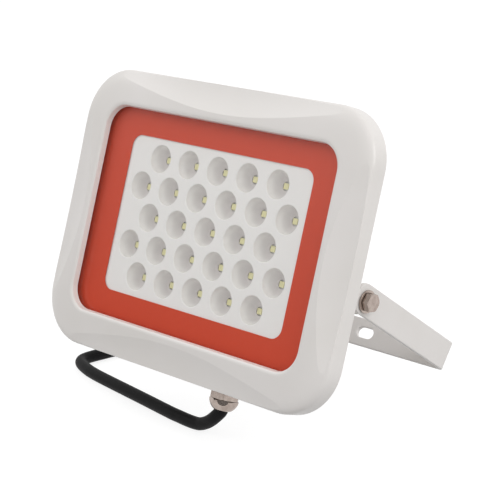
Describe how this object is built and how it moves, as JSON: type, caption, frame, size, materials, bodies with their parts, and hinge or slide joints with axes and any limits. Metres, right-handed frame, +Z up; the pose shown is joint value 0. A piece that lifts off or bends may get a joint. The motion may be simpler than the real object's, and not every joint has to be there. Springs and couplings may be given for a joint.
{
  "type": "led floodlight",
  "caption": "Slim rectangular LED floodlight with a bowl reflector plate behind glass, on a tilting U-shaped steel bracket, with a gland and a short supply lead.",
  "frame": {"origin": "centre of the bracket's outer mounting face, midway between its two slots", "axes": "+X to the lamp's right as seen from the front, along the tilt axis; -Y the way the lamp shines, level; +Z up"},
  "size_m": [0.2112, 0.1163, 0.1682],
  "materials": {
    "painted_steel": "satin",
    "painted_casting": "satin",
    "glass": "gloss",
    "red_print": "gloss",
    "grey_silicone": "matte",
    "white_plastic": "satin",
    "led_board": "satin",
    "circuit_board": "satin",
    "transformer": "satin",
    "capacitor": "gloss",
    "terminal_nylon": "satin",
    "zinc_steel": "satin",
    "nickel_steel": "polished",
    "nickel_brass": "polished",
    "natural_nylon": "satin",
    "black_rubber": "satin",
    "brown_core": "gloss",
    "green_yellow_core": "gloss",
    "blue_core": "gloss",
    "red_wire": "satin"
  },
  "bodies": {
    "bracket": {"tilt_bracket": "painted_steel"},
    "head": {"rear_housing": "painted_casting", "front_bezel": "painted_casting", "driver_cover": "painted_casting", "glass_pane": "glass", "printed_border": "red_print", "glass_seal": "grey_silicone", "reflector_plate": "white_plastic", "led_board": "led_board", "driver_board": "circuit_board", "driver_transformer": "transformer", "driver_capacitor": "capacitor", "terminal_block": "terminal_nylon", "driver_cover_seal": "black_rubber", "board_screw_1": "zinc_steel", "board_screw_2": "zinc_steel", "board_screw_3": "zinc_steel", "board_screw_4": "zinc_steel", "bezel_screw_1": "zinc_steel", "bezel_screw_2": "zinc_steel", "bezel_screw_3": "zinc_steel", "bezel_screw_4": "zinc_steel", "bezel_screw_5": "zinc_steel", "bezel_screw_6": "zinc_steel", "cover_screw_1": "zinc_steel", "cover_screw_2": "zinc_steel", "cover_screw_3": "zinc_steel", "cover_screw_4": "zinc_steel", "driver_screw_1": "zinc_steel", "driver_screw_2": "zinc_steel", "driver_screw_3": "zinc_steel", "driver_screw_4": "zinc_steel", "pivot_bolt_left": "nickel_steel", "pivot_bolt_right": "nickel_steel", "flat_washer_left": "nickel_steel", "flat_washer_right": "nickel_steel", "friction_washer_left": "natural_nylon", "friction_washer_right": "natural_nylon", "gland_body": "nickel_brass", "gland_dome_nut": "nickel_brass", "gland_o_ring": "black_rubber", "gland_seal": "black_rubber", "inner_lead": "black_rubber", "inner_core_live": "brown_core", "inner_core_earth": "green_yellow_core", "inner_core_neutral": "blue_core", "led_lead_positive": "red_wire", "led_lead_negative": "black_rubber", "supply_lead": "black_rubber", "lead_core_live": "brown_core", "lead_core_earth": "green_yellow_core", "lead_core_neutral": "blue_core"}
  },
  "joints": [
    {"name": "head_tilt", "type": "hinge", "parent": "bracket", "child": "head", "pos_m": [0, -0.06618, 0.04442], "axis": [1, 0, 0], "range_deg": [-80, 60]}
  ]
}
